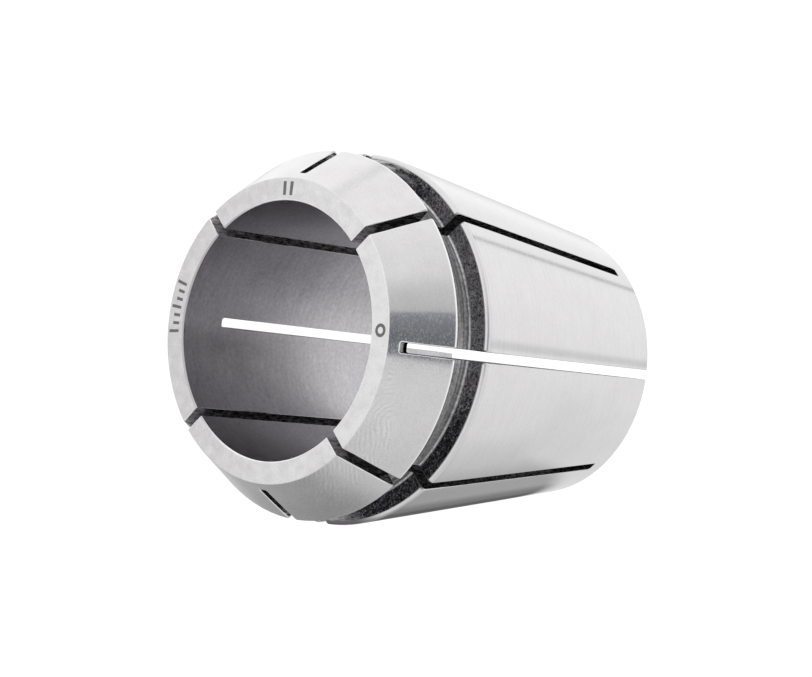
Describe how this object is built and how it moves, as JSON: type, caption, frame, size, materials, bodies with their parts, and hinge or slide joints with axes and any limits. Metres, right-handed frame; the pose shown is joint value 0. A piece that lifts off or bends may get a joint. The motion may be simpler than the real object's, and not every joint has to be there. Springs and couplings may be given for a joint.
{
  "type": "spring collet",
  "caption": "Slotted steel spring collet with a long taper, a nose cone, an extraction groove and a through bore that grips a round shank.",
  "frame": {"origin": "centre of the rear face, on the bore axis", "axes": "+Z along the bore axis from the rear face to the nose; +X and +Y each run through a slot that opens at the rear end"},
  "size_m": [0.041, 0.041, 0.046],
  "materials": {
    "steel": "ground and honed bright, with dark slot walls and a dark shoulder in the groove"
  },
  "bodies": {
    "root": {"collet": "steel"}
  },
  "joints": []
}
